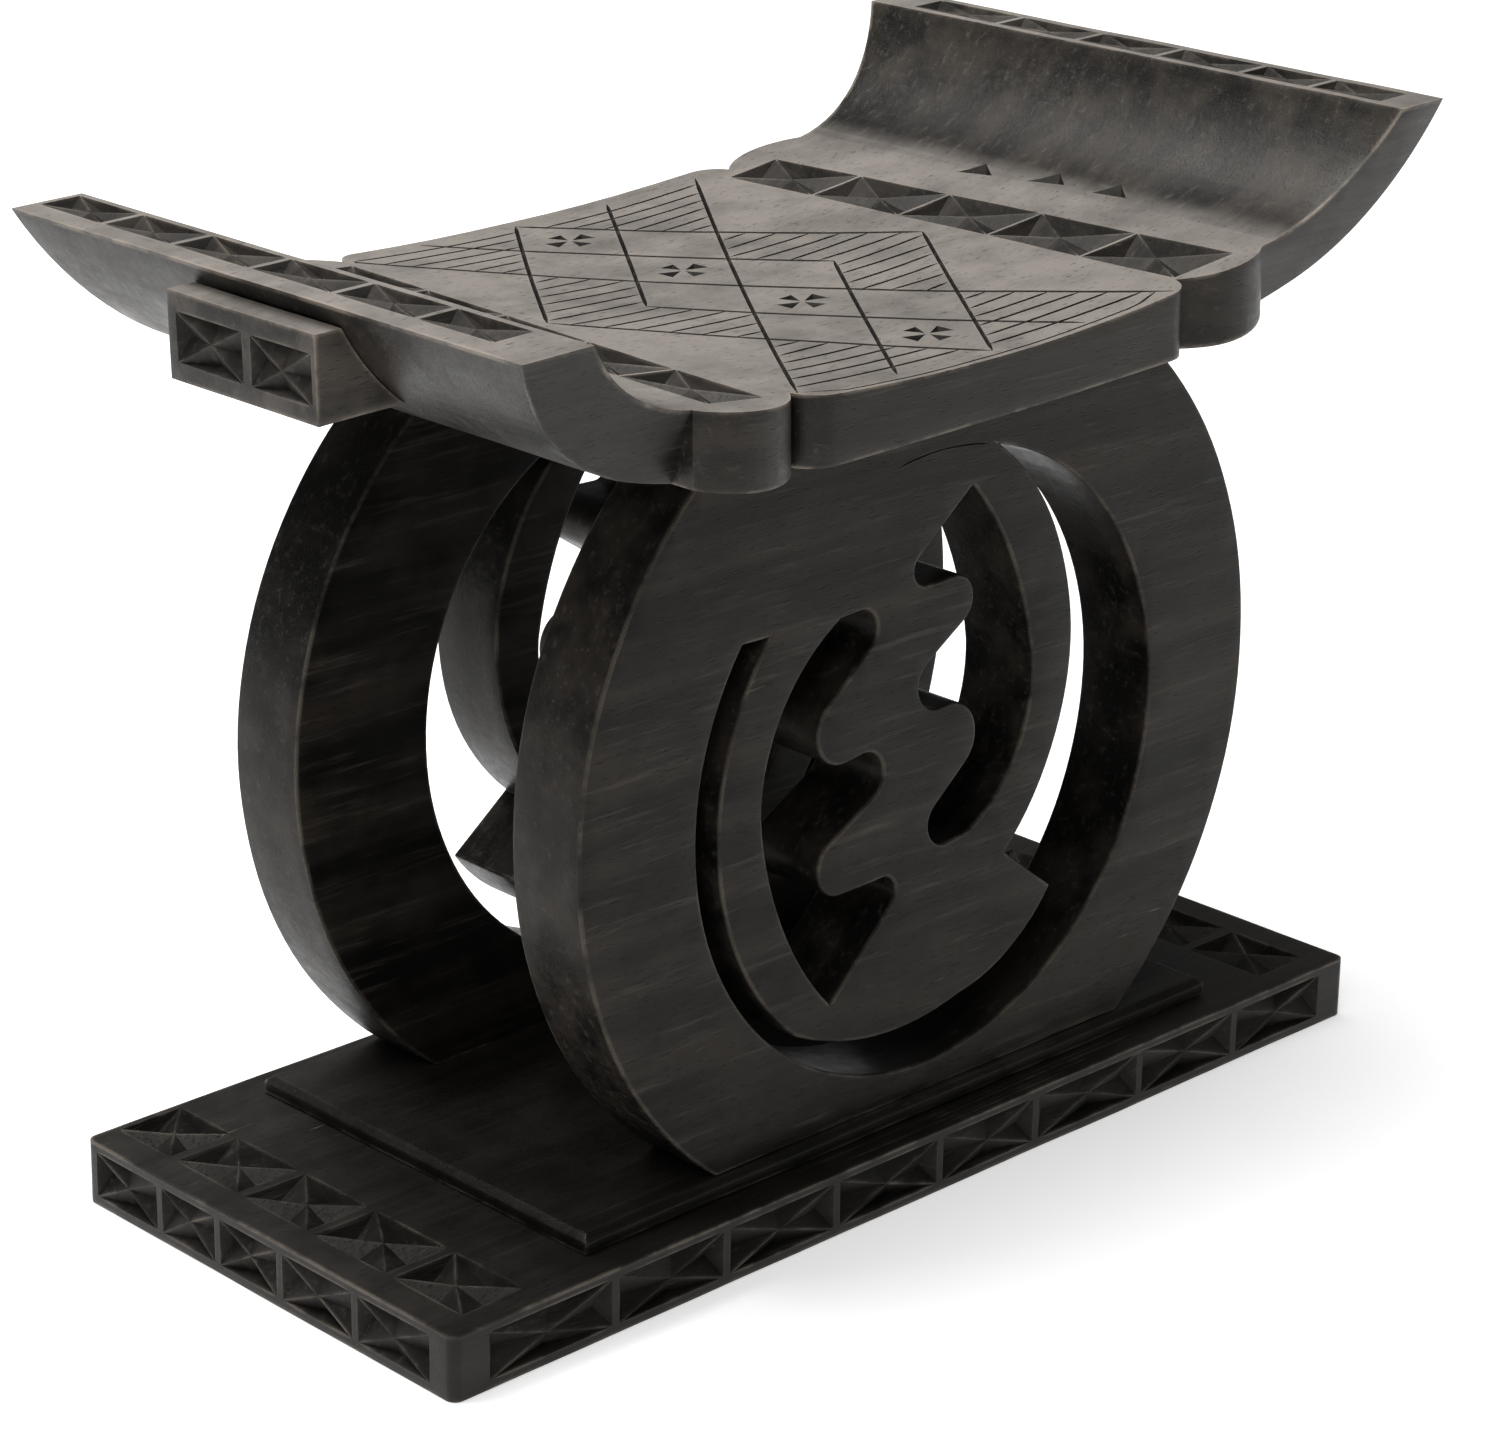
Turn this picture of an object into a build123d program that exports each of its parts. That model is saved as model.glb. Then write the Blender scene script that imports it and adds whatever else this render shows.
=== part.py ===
"""Ashanti stool: a curved seat on two pierced side panels, standing on a stepped base board.

Millimetres. X runs along the length, Y across the depth, Z up. The origin is at the middle of the
underside of the base board. The stool is held together by blind tenons and dowels, all glued.
The seat and its lugs are drawn level, from the middle of the seat's underside, and then set down on
the panels with the small slope that the hand-carved seat has.
"""

import os

from build123d import *

os.makedirs("parts", exist_ok=True)

# ---- base board and step ------------------------------------------------------------------------
BASE_LENGTH = 560
BASE_DEPTH = 246
BASE_THICKNESS = 30
BASE_CORNER = 5  # rounding of the upright corners

STEP_LENGTH = 390
STEP_DEPTH = 213
STEP_THICKNESS = 9
STEP_BEVEL = 3  # sloping edge round the step

# ---- side panels --------------------------------------------------------------------------------
PANEL_FACE = 103  # outer face of each panel, from the middle plane
PANEL_THICKNESS = 41
SYMBOL_HEIGHT = 193  # centre of the symbol above the floor
SYMBOL_SHIFT = 9  # it sits a little off the middle; the two panels are turned end for end
FRONT_RING_RADIUS = 204
FRONT_RING_LIFT = 6  # centre of the front panel's outer round above the centre of the symbol
BACK_RING_RADIUS = 198
BACK_RING_LIFT = 0
FRONT_SLOT_RADIUS = 140  # outer edge of the crescent slot
FRONT_SLOT_SHIFT = 0
FRONT_SLOT_END = 75
BACK_SLOT_RADIUS = 133
BACK_SLOT_SHIFT = -7  # the back panel's slot is cut nearer to the narrow band, and so it is slimmer
BACK_SLOT_END = 70
SLOT_START_ANGLE = 145
BAND_RADIUS = 127.5  # outer edge of the narrow band left of the symbol
BAND_END_ANGLE = 141  # where that band ends, at the start of the slot

# ---- seat, drawn level from the middle of its underside -----------------------------------------
SEAT_UNDERSIDE = 361  # height above the floor at the middle
SEAT_SLOPE = 1.5  # degrees, the right end up
SEAT_FLAT = 125  # half length of the flat part of the underside
SEAT_MIDDLE = 25.5  # thickness at the middle
TOP_TURN = (165, 36)  # where the shallow hollow of the seat turns up into a wing
UNDER_TURN = (198, 12.5)  # the same on the underside
LEFT_WING_RISE = 79  # top of the left wing above the seat's underside
RIGHT_WING_RISE = 88
LEFT_WING_OUTER = 269  # from the middle to the outer edge of the left wing
RIGHT_WING_OUTER = 262
WING_INNER = 234  # from the middle to the inner edge of either wing, at its top
WING_ROOT_DEPTH = 142  # half depth of the wings where they leave the lobes
WING_ROOT_RISE = 38
WING_FLARE = 0.38  # each end of a wing leans out this much per millimetre of height
BODY_DEPTH = 150  # half depth of the middle of the seat
BODY_CORNER = (100, 148)  # where the long edges begin to round towards the notches
NOTCH = (114.5, 136.5)
LOBE_CREST = (143, 153)
LOBE_END = (171, 142)
RIGHT_LOBE_TRIM = 5  # the right lobes stand out this much less than the left ones
WING_START = 140  # the wings start under the lobes here

# ---- lugs, drawn with the seat ------------------------------------------------------------------
LUG_FACE = 278  # half length over the lugs
LUG_WIDTH = 92
LUG_SHIFT = -4  # the lugs sit a little towards the front
LUG_RISE = 70
LUG_HEIGHT = 36.5

# ---- joinery ------------------------------------------------------------------------------------
GLUE_GAP = 0.2  # between glued curved faces
TENON_WIDTH = 56
TENON_THICKNESS = 16
TENON_SPACING = 110
TOP_TENON = 13  # height of the tenons in the seat
BASE_TENON = 15  # depth of the tenons in the base board
TENON_CLEARANCE = 0.2
TENON_END_GAP = 1
DOWEL_DIAMETER = 8
DOWEL_CLEARANCE = 0.1
DOWEL_END_GAP = 0.5
LUG_DOWEL_LENGTH = 34
LUG_DOWEL_COVER = 12.5  # wood left between a lug's face and its dowels
LUG_DOWEL_SPACING = 50
STEP_DOWEL_LENGTH = 21
STEP_DOWEL_RISE = 5  # how far a step dowel reaches up into the step
STEP_DOWEL_X = 150
STEP_DOWEL_Y = 75

STEP_TOP = BASE_THICKNESS + STEP_THICKNESS
TALLEST_WING = max(LEFT_WING_RISE, RIGHT_WING_RISE)
WING_FOOT_DEPTH = WING_ROOT_DEPTH - WING_FLARE * WING_ROOT_RISE
WING_DEPTH = WING_FOOT_DEPTH + WING_FLARE * TALLEST_WING  # half depth of the taller wing's top
WINGS = ((-1, LEFT_WING_RISE, LEFT_WING_OUTER), (1, RIGHT_WING_RISE, RIGHT_WING_OUTER))
LUG_MIDDLE = LUG_RISE - LUG_HEIGHT / 2
LUG_HOLE_OUTER = LUG_FACE - LUG_DOWEL_COVER
LUG_HOLE_LENGTH = LUG_DOWEL_LENGTH + 2 * DOWEL_END_GAP
PANEL_MIDDLE = PANEL_FACE - PANEL_THICKNESS / 2
DOWEL_HOLE = DOWEL_DIAMETER + 2 * DOWEL_CLEARANCE

SEAT_PLACE = Location((0, 0, SEAT_UNDERSIDE), (0, -SEAT_SLOPE, 0))
underside_plane = Plane(SEAT_PLACE)

# The two pierced shapes of the symbol, measured from its centre. The outer edges are arcs through
# every second point; the inner edges are corners, each with its own rounding.
RIGHT_OUTER = [(24, -37), (53, -7), (61, 32), (46, 82), (20, 121)]
RIGHT_TURNS = [(-29.5, 81.4), (52.5, 83.7), (-44.3, 21.4), (59.1, 28.7), (-29.3, -47)]
RIGHT_INNER = [RIGHT_OUTER[-1], *RIGHT_TURNS, RIGHT_OUTER[0]]
RIGHT_ROUNDING = [7.6, 11.9, 12.1, 16.9, 11]
LEFT_OUTER = [(-60, -95), (-91, -47), (-102.5, 2), (-91, 46), (-58, 79)]
LEFT_TURNS = [(-15.6, 81.4), (-110.1, 5.5), (21, 24.6), (-112.8, -47.6), (-9.8, -44.4)]
LEFT_INNER = [LEFT_OUTER[-1], *LEFT_TURNS, LEFT_OUTER[0]]
LEFT_ROUNDING = [10, 15.7, 11.6, 13.6, 7.7]
# The edge of the symbol along the right and the bottom of the crescent slot.
HOOK_MIDDLE = (86, 38)
HOOK_END = (47, -54)
FOOT_EDGE = [(78, -78), (55, -100.5), (20, -114), (-30, -118.8), (-80, -104)]


def arcs_through(points):
    """Adds a chain of arcs to the open line, each one through three of the points."""
    for start, middle, end in zip(points[::2], points[1::2], points[2::2]):
        ThreePointArc(start, middle, end)


def rounded_corners(points, radii):
    """Adds straight lines through the points to the open line, each inner corner rounded."""
    with BuildLine(mode=Mode.PRIVATE) as path:
        Polyline(*points)
        for corner, radius in zip(points[1:-1], radii):
            fillet(path.vertices().sort_by_distance(corner)[0], radius)
    add(path.line)


def tenon_places(side, clearance=0):
    """Adds the two tenons of the panel on one side (-1 front, 1 back) to the open sketch."""
    with Locations((-side * SYMBOL_SHIFT, side * PANEL_MIDDLE)):
        with GridLocations(TENON_SPACING, 0, 2, 1):
            Rectangle(TENON_WIDTH + 2 * clearance, TENON_THICKNESS + 2 * clearance)


def mortise_places():
    """Adds the four mortises that take both panels' tenons to the open sketch."""
    tenon_places(-1, TENON_CLEARANCE)
    tenon_places(1, TENON_CLEARANCE)


def dowel_places(diameter):
    """Adds one circle for each step dowel to the open sketch."""
    with GridLocations(2 * STEP_DOWEL_X, 2 * STEP_DOWEL_Y, 2, 2):
        Circle(diameter / 2)


def lug_dowel_places(diameter):
    """Adds one circle for each dowel of a lug to the open sketch, seen along X."""
    with Locations((LUG_SHIFT, LUG_MIDDLE)):
        with GridLocations(LUG_DOWEL_SPACING, 0, 2, 1):
            Circle(diameter / 2)


# ---- base board ---------------------------------------------------------------------------------
with BuildPart() as base_board:
    Box(
        BASE_LENGTH,
        BASE_DEPTH,
        BASE_THICKNESS,
        align=(Align.CENTER, Align.CENTER, Align.MIN),
    )
    fillet(base_board.edges().filter_by(Axis.Z), BASE_CORNER)
    with BuildSketch(Plane.XY.offset(BASE_THICKNESS)):
        mortise_places()
    extrude(amount=-(BASE_TENON + TENON_END_GAP), mode=Mode.SUBTRACT)
    with BuildSketch(Plane.XY.offset(BASE_THICKNESS)):
        dowel_places(DOWEL_HOLE)
    extrude(
        amount=-(STEP_DOWEL_LENGTH - STEP_DOWEL_RISE + DOWEL_END_GAP),
        mode=Mode.SUBTRACT,
    )

# ---- step ---------------------------------------------------------------------------------------
with BuildPart() as base_step:
    with BuildSketch(Plane.XY.offset(BASE_THICKNESS)):
        Rectangle(STEP_LENGTH, STEP_DEPTH)
    extrude(amount=STEP_THICKNESS)
    chamfer(
        base_step.faces().sort_by(Axis.Z)[-1].edges(),
        length=STEP_BEVEL,
        length2=STEP_BEVEL,
    )
    with BuildSketch(Plane.XY.offset(STEP_TOP)):
        mortise_places()
    extrude(amount=-STEP_THICKNESS, mode=Mode.SUBTRACT)
    with BuildSketch(Plane.XY.offset(BASE_THICKNESS)):
        dowel_places(DOWEL_HOLE)
    extrude(amount=STEP_DOWEL_RISE + DOWEL_END_GAP, mode=Mode.SUBTRACT)

# ---- seat ---------------------------------------------------------------------------------------
# Seen from above, the middle bulges between four notches and each wing springs from two lobes.
with BuildPart() as seat_trim:
    with BuildSketch():
        for end, trim in ((-1, 0), (1, RIGHT_LOBE_TRIM)):
            corner = (end * BODY_CORNER[0], BODY_CORNER[1])
            notch = (end * NOTCH[0], NOTCH[1])
            crest = (end * LOBE_CREST[0], LOBE_CREST[1] - trim)
            lobe_end = (end * LOBE_END[0], LOBE_END[1] - trim)
            with BuildLine():
                Line((0, 0), (0, BODY_DEPTH))
                edge = TangentArc((0, BODY_DEPTH), corner, tangent=(end, 0))
                TangentArc(corner, notch, tangent=edge % 1)
                ThreePointArc(notch, crest, lobe_end)
                Line(lobe_end, (lobe_end[0], 0))
                Line((lobe_end[0], 0), (0, 0))
            make_face()
        mirror(about=Plane.XZ)
    extrude(amount=TALLEST_WING)
    # Seen from the end, each wing flares upwards from its root like the side of a boat.
    for end in (-1, 1):
        with BuildSketch(Plane.YZ.offset(end * WING_START)):
            Polygon(
                (-WING_FOOT_DEPTH, 0),
                (WING_FOOT_DEPTH, 0),
                (WING_DEPTH, TALLEST_WING),
                (-WING_DEPTH, TALLEST_WING),
                align=None,
            )
        extrude(amount=end * WING_START)

with BuildSketch(Plane.XZ) as long_section:
    for end, rise, outer in WINGS:
        with BuildLine():
            Line((0, SEAT_MIDDLE), (0, 0))
            Line((0, 0), (end * SEAT_FLAT, 0))
            turn = (end * UNDER_TURN[0], UNDER_TURN[1])
            under = TangentArc((end * SEAT_FLAT, 0), turn, tangent=(end, 0))
            TangentArc(turn, (end * outer, rise), tangent=under % 1)
            Line((end * outer, rise), (end * WING_INNER, rise))
            turn = (end * TOP_TURN[0], TOP_TURN[1])
            hollow = TangentArc((0, SEAT_MIDDLE), turn, tangent=(end, 0))
            TangentArc(turn, (end * WING_INNER, rise), tangent=hollow % 1)
        make_face()

with BuildPart() as level_seat:
    extrude(long_section.sketch, amount=WING_DEPTH, both=True)
    add(seat_trim.part, mode=Mode.INTERSECT)
    for end in (-1, 1):
        with BuildSketch(Plane.YZ.offset(end * LUG_HOLE_OUTER)):
            lug_dowel_places(DOWEL_HOLE)
        extrude(amount=-end * LUG_HOLE_LENGTH, mode=Mode.SUBTRACT)

with BuildPart() as seat:
    add(level_seat.part.moved(SEAT_PLACE))
    with BuildSketch(Plane.XY.offset(SEAT_UNDERSIDE - TOP_TENON)):
        mortise_places()
    extrude(amount=2 * TOP_TENON + TENON_END_GAP, mode=Mode.SUBTRACT)

# ---- side panels --------------------------------------------------------------------------------
# Each ring is cut off by the step below and, once the panel stands in its place, by the seat above.
symbol_plane = Plane(
    origin=(SYMBOL_SHIFT, -PANEL_FACE, SYMBOL_HEIGHT),
    x_dir=(1, 0, 0),
    z_dir=(0, -1, 0),
)


def pierced_blank(ring_radius, ring_lift, slot_radius, slot_shift, slot_end):
    """A panel without tenons, standing in front. The two panels share the symbol, not the ring."""
    with BuildPart() as blank:
        with BuildSketch(symbol_plane):
            with Locations((0, ring_lift)):
                Circle(ring_radius)
            with Locations((0, STEP_TOP - SYMBOL_HEIGHT)):
                Rectangle(
                    2 * ring_radius,
                    2 * ring_radius,
                    align=(Align.CENTER, Align.MIN),
                    mode=Mode.INTERSECT,
                )
            # The crescent slot, which runs most of the way round the symbol.
            with BuildLine():
                sweep = 360 + slot_end - SLOT_START_ANGLE
                outer = CenterArc((slot_shift, 0), slot_radius, SLOT_START_ANGLE, sweep)
                ThreePointArc(outer @ 1, HOOK_MIDDLE, HOOK_END)
                Line(HOOK_END, FOOT_EDGE[0])
                arcs_through(FOOT_EDGE)
                band_top = Vector(BAND_RADIUS, 0).rotate(Axis.Z, BAND_END_ANGLE)
                ThreePointArc(FOOT_EDGE[-1], (-BAND_RADIUS, 0), band_top)
                Line(band_top, outer @ 0)
            make_face(mode=Mode.SUBTRACT)
            with BuildLine():
                arcs_through(RIGHT_OUTER)
                rounded_corners(RIGHT_INNER, RIGHT_ROUNDING)
            make_face(mode=Mode.SUBTRACT)
            with BuildLine():
                arcs_through(LEFT_OUTER)
                rounded_corners(LEFT_INNER, LEFT_ROUNDING)
            make_face(mode=Mode.SUBTRACT)
        extrude(amount=-PANEL_THICKNESS)
    return blank


def panel(side, blank):
    """One pierced panel in its place with its tenons; side is -1 in front and 1 behind."""
    with BuildPart() as ring:
        add(blank.part, rotation=(0, 0, 90 + side * 90))
        split(bisect_by=underside_plane, keep=Keep.BOTTOM)
        with BuildSketch(Plane.XY.offset(SEAT_UNDERSIDE - TOP_TENON)):
            tenon_places(side)
        extrude(amount=2 * TOP_TENON)
        with BuildSketch(Plane.XY.offset(STEP_TOP)):
            tenon_places(side)
        extrude(amount=-(STEP_THICKNESS + BASE_TENON))
    return ring


front_blank = pierced_blank(
    FRONT_RING_RADIUS,
    FRONT_RING_LIFT,
    FRONT_SLOT_RADIUS,
    FRONT_SLOT_SHIFT,
    FRONT_SLOT_END,
)
back_blank = pierced_blank(
    BACK_RING_RADIUS,
    BACK_RING_LIFT,
    BACK_SLOT_RADIUS,
    BACK_SLOT_SHIFT,
    BACK_SLOT_END,
)
front_panel = panel(-1, front_blank)
back_panel = panel(1, back_blank)


# ---- lugs ---------------------------------------------------------------------------------------
def lug(end):
    """The carved block on the outside of one wing; end is -1 on the left and 1 on the right."""
    with BuildPart() as block:
        with BuildSketch(Plane.YZ.offset(end * WING_INNER)):
            with Locations((LUG_SHIFT, LUG_MIDDLE)):
                Rectangle(LUG_WIDTH, LUG_HEIGHT)
        extrude(amount=end * (LUG_FACE - WING_INNER))
        extrude(
            long_section.sketch.moved(Location((end * GLUE_GAP, 0, 0))),
            amount=LUG_WIDTH,
            both=True,
            mode=Mode.SUBTRACT,
        )
        with BuildSketch(Plane.YZ.offset(end * LUG_HOLE_OUTER)):
            lug_dowel_places(DOWEL_HOLE)
        extrude(amount=-end * LUG_HOLE_LENGTH, mode=Mode.SUBTRACT)
    return block


level_left_lug = lug(-1)
level_right_lug = lug(1)

with BuildPart() as left_lug:
    add(level_left_lug.part.moved(SEAT_PLACE))

with BuildPart() as right_lug:
    add(level_right_lug.part.moved(SEAT_PLACE))

# ---- dowels -------------------------------------------------------------------------------------
with BuildPart() as level_lug_pins:
    for end in (-1, 1):
        with BuildSketch(Plane.YZ.offset(end * (LUG_HOLE_OUTER - DOWEL_END_GAP))):
            lug_dowel_places(DOWEL_DIAMETER)
        extrude(amount=-end * LUG_DOWEL_LENGTH)

with BuildPart() as lug_pins:
    add(level_lug_pins.part.moved(SEAT_PLACE))

with BuildPart() as step_pins:
    with BuildSketch(Plane.XY.offset(BASE_THICKNESS + STEP_DOWEL_RISE)):
        dowel_places(DOWEL_DIAMETER)
    extrude(amount=-STEP_DOWEL_LENGTH)

# ---- files --------------------------------------------------------------------------------------
pieces = {
    "seat": seat,
    "left_lug": left_lug,
    "right_lug": right_lug,
    "front_panel": front_panel,
    "back_panel": back_panel,
    "base_step": base_step,
    "base_board": base_board,
    "lug_pins": lug_pins,
    "step_pins": step_pins,
}
for name, piece in pieces.items():
    piece.part.label = name
    export_step(piece.part, f"parts/{name}.step")
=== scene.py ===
"""Dresses the ashanti stool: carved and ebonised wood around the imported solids.

Metres, in the frame of the solids: X runs along the stool, Y across it, Z up. The near left corner
of the stool is towards the camera. Every visible solid is copied, its edges are softened by hand
wear, and the chip carving and the incised lattice are cut into the copy.
"""

import logging
import math
import random
from dataclasses import dataclass, field
from enum import IntEnum
from typing import Sequence

import bmesh
import bpy
from mathutils import Matrix, Vector, noise
from mathutils.bvhtree import BVHTree


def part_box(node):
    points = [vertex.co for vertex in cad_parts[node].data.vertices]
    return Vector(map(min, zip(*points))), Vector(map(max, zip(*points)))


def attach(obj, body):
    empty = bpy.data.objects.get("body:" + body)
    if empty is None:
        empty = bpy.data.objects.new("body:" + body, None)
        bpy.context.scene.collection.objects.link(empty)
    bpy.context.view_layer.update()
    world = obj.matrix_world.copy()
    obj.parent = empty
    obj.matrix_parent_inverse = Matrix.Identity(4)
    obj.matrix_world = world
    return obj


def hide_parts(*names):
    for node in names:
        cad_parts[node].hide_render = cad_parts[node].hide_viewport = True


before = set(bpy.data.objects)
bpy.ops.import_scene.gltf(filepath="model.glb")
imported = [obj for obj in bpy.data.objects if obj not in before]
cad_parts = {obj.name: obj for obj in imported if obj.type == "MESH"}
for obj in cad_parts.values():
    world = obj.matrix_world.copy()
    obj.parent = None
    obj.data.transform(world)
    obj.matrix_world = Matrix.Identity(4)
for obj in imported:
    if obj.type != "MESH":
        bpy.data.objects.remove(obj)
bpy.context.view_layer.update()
log = logging.getLogger("stool")

MM = 0.001
FULL_TURN = 2 * math.pi
SOFTEN_ANGLE = math.radians(32)
FLAT_ANGLE = math.radians(0.4)
MERGE_DISTANCE = 0.01 * MM
# Keeps the planes that slice a piece off its own points.
PLANE_SHIFT = 0.37
IMAGE_WIDTH = 1500
WAVE_SEED = 7
X_AXIS, Y_AXIS, Z_AXIS = Vector((1, 0, 0)), Vector((0, 1, 0)), Vector((0, 0, 1))

Point = tuple[float, float]
Color = tuple[float, float, float]
Range = tuple[float, float]


# ---- tools ----
def select_only(piece: bpy.types.Object) -> None:
    """Makes one object the only selected and the active one.

    Args:
        piece: The object to work on.
    """
    if bpy.context.object and bpy.context.object.mode != "OBJECT":
        bpy.ops.object.mode_set(mode="OBJECT")
    bpy.ops.object.select_all(action="DESELECT")
    piece.select_set(True)
    bpy.context.view_layer.objects.active = piece


def apply_modifier(piece: bpy.types.Object, kind: str, **settings: object) -> None:
    """Adds a modifier to a piece and applies it.

    Args:
        piece: The object to change.
        kind: Blender's name for the modifier's type.
        **settings: The modifier's own settings.
    """
    modifier = piece.modifiers.new(kind.title(), kind)
    for name, value in settings.items():
        setattr(modifier, name, value)
    select_only(piece)
    bpy.ops.object.modifier_apply(modifier=modifier.name)


def slice_mesh(piece: bpy.types.Object, spacing: float) -> None:
    """Cuts a piece's faces by planes across X, Y and Z, so that they can follow hand-made waves.

    Args:
        piece: The object to cut.
        spacing: The distance between two planes.
    """
    select_only(piece)
    bpy.ops.object.mode_set(mode="EDIT")
    corners = [Vector(corner) for corner in piece.bound_box]
    for axis, normal in enumerate((X_AXIS, Y_AXIS, Z_AXIS)):
        low = min(corner[axis] for corner in corners)
        high = max(corner[axis] for corner in corners)
        for step in range(1, int((high - low) / spacing) + 1):
            place = normal * (low + (step - PLANE_SHIFT) * spacing)
            bpy.ops.mesh.select_all(action="SELECT")
            bpy.ops.mesh.bisect(plane_co=place, plane_no=normal)
    bpy.ops.object.mode_set(mode="OBJECT")


def ripple(piece: bpy.types.Object, height: float, length: float, seed: float) -> None:
    """Moves a piece's points a little along smooth noise, as a hand-cut surface is.

    Args:
        piece: The object to change.
        height: The largest move.
        length: The length of one wave.
        seed: Shifts the noise, so that two pieces differ.
    """
    shift = Vector((seed, seed * 0.7, -seed))
    for vertex in piece.data.vertices:
        wave = noise.noise_vector(vertex.co / length + shift)
        vertex.co += wave * height
    piece.data.update()


def triangulate(piece: bpy.types.Object) -> None:
    """Splits a piece's faces into triangles, so that every face is truly flat.

    Args:
        piece: The object to change.
    """
    select_only(piece)
    bpy.ops.object.mode_set(mode="EDIT")
    bpy.ops.mesh.select_all(action="SELECT")
    bpy.ops.mesh.normals_make_consistent(inside=False)
    bpy.ops.mesh.quads_convert_to_tris()
    bpy.ops.object.mode_set(mode="OBJECT")


def inside_box(piece: bpy.types.Object, node: str) -> None:
    """Shrinks a piece by a hair, so that it fits into a node's box.

    Args:
        piece: The object to change.
        node: The node whose box is the limit.
    """
    low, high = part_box(node)
    points = piece.data.vertices
    for axis in range(3):
        least = min(vertex.co[axis] for vertex in points)
        most = max(vertex.co[axis] for vertex in points)
        scale = min(1.0, (high[axis] - low[axis]) / (most - least))
        start = max(least, low[axis]) if scale == 1.0 else low[axis]
        for vertex in points:
            vertex.co[axis] = start + (vertex.co[axis] - least) * scale
    piece.data.update()


# ---- shader building ----
class Value:
    """A number or colour that varies over the surface; sums and products add Math nodes."""

    def __init__(self, shader: "Shader", socket: bpy.types.NodeSocket) -> None:
        """Wraps a socket of the given shader."""
        self.shader = shader
        self.socket = socket

    def _math(self, operation: str, *values: "Value | float") -> "Value":
        """Adds a Math node for one operation on the values."""
        return self.shader.node("ShaderNodeMath", {"operation": operation}, dict(enumerate(values)))

    def __add__(self, other: "Value | float") -> "Value":
        """Self plus other."""
        return self._math("ADD", self, other)

    def __radd__(self, other: float) -> "Value":
        """Other plus self."""
        return self._math("ADD", other, self)

    def __sub__(self, other: "Value | float") -> "Value":
        """Self minus other."""
        return self._math("SUBTRACT", self, other)

    def __rsub__(self, other: float) -> "Value":
        """Other minus self."""
        return self._math("SUBTRACT", other, self)

    def __mul__(self, other: "Value | float") -> "Value":
        """Self times other."""
        return self._math("MULTIPLY", self, other)

    def __rmul__(self, other: float) -> "Value":
        """Other times self."""
        return self._math("MULTIPLY", other, self)

    def above(self, low: float, high: float) -> "Value":
        """Makes a smooth mask.

        Args:
            low: The mask is 0 below this.
            high: The mask is 1 above this.

        Returns:
            The mask.
        """
        settings = {"interpolation_type": "SMOOTHSTEP"}
        values = {"Value": self, "From Min": low, "From Max": high}
        return self.shader.node("ShaderNodeMapRange", settings, values)


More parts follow.
